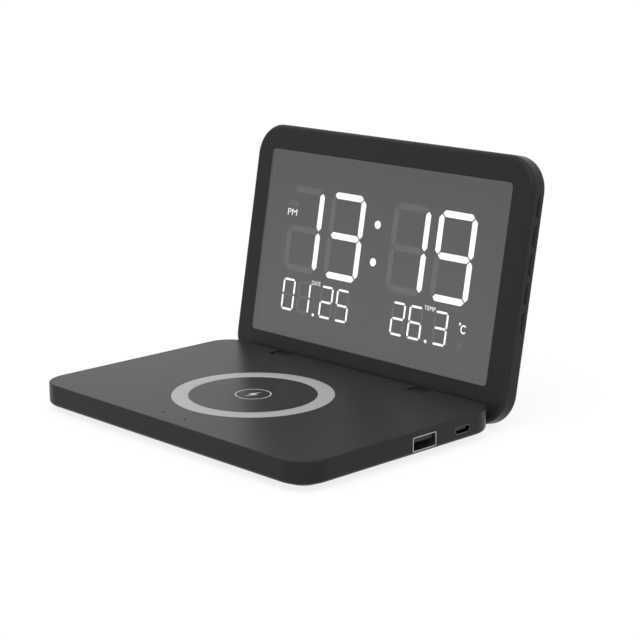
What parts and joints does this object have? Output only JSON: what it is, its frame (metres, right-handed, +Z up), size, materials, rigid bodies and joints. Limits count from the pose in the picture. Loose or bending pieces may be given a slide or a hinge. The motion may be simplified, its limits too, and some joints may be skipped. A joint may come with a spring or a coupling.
{
  "type": "wireless charger alarm clock",
  "caption": "Folding bedside clock: a flat charging pad with a soft ring, and a digital screen with edge buttons that leans back on a rear hinge and folds down over the pad.",
  "frame": {"origin": "on the table, under the middle of the open clock's bounding box", "axes": "+X to the clock's right as it faces the user, +Y to the rear, +Z up"},
  "size_m": [0.1605, 0.136, 0.1086],
  "materials": {
    "case_plastic": "fine satin moulding",
    "foot_rubber": "matt, light grey",
    "ring_rubber": "matt, light grey",
    "steel": "bright plated",
    "hinge_metal": "satin black",
    "brass": "bright",
    "copper": "enamelled copper wire",
    "ferrite": "matt sintered",
    "circuit_board": "solder mask",
    "black_plastic": "moulded",
    "pale_plastic": "moulded",
    "white_plastic": "reflecting white",
    "smoke_film": "grey diffusing film",
    "clear_plastic": "clear",
    "lens_plastic": "smoked clear, anti-glare",
    "wire_sleeve": "matt"
  },
  "bodies": {
    "base": {"base_top_cover": "case_plastic", "base_bottom_cover": "case_plastic", "rubber_feet": "foot_rubber", "base_screws": "steel", "charging_ring": "ring_rubber", "charging_coil": "copper", "ferrite_shield": "ferrite", "coil_leads": "copper", "charger_board": "circuit_board", "power_inductor": "ferrite", "charger_chips": "black_plastic", "board_screws": "steel", "harness_connector": "pale_plastic", "usb_a_shell": "steel", "usb_a_tongue": "black_plastic", "usb_a_contacts": "brass", "usb_c_shell": "steel", "usb_c_tongue": "black_plastic", "indicator_board": "circuit_board", "indicator_leds": "clear_plastic", "light_pipes": "clear_plastic", "hinge_bracket_left": "steel", "hinge_bracket_right": "steel", "hinge_bracket_screws": "steel", "base_harness": "wire_sleeve"},
    "screen": {"hinge_arm_left": "hinge_metal", "hinge_arm_right": "hinge_metal", "hinge_pin_left": "steel", "hinge_pin_right": "steel", "hinge_bush_left": "brass", "hinge_arm_screws": "steel", "screen_harness": "wire_sleeve", "front_bezel": "case_plastic", "display_lens": "lens_plastic", "diffuser_sheet": "smoke_film", "segment_reflector": "white_plastic", "display_board": "circuit_board", "display_board_screws": "steel", "clock_chip": "black_plastic", "display_connector": "pale_plastic", "buzzer": "black_plastic", "backup_cell_holder": "black_plastic", "backup_cell": "steel", "temperature_sensor": "black_plastic", "side_switches": "pale_plastic", "rear_cover": "case_plastic"},
    "side_button_1": {"side_button_1": "case_plastic"},
    "side_button_2": {"side_button_2": "case_plastic"},
    "side_button_3": {"side_button_3": "case_plastic"},
    "side_button_4": {"side_button_4": "case_plastic"},
    "side_button_5": {"side_button_5": "case_plastic"}
  },
  "joints": [
    {"name": "screen_fold", "type": "hinge", "parent": "base", "child": "screen", "pos_m": [0, 0.0365, 0.0072], "axis": [1, 0, 0], "range_deg": [0, 100]},
    {"name": "side_button_1_press", "type": "slide", "parent": "screen", "child": "side_button_1", "axis": [-1, 0, 0], "range_m": [0, 0.0003], "stiffness_N_per_m": 2500},
    {"name": "side_button_2_press", "type": "slide", "parent": "screen", "child": "side_button_2", "axis": [-1, 0, 0], "range_m": [0, 0.0003], "stiffness_N_per_m": 2500},
    {"name": "side_button_3_press", "type": "slide", "parent": "screen", "child": "side_button_3", "axis": [-1, 0, 0], "range_m": [0, 0.0003], "stiffness_N_per_m": 2500},
    {"name": "side_button_4_press", "type": "slide", "parent": "screen", "child": "side_button_4", "axis": [-1, 0, 0], "range_m": [0, 0.0003], "stiffness_N_per_m": 2500},
    {"name": "side_button_5_press", "type": "slide", "parent": "screen", "child": "side_button_5", "axis": [-1, 0, 0], "range_m": [0, 0.0003], "stiffness_N_per_m": 2500}
  ]
}
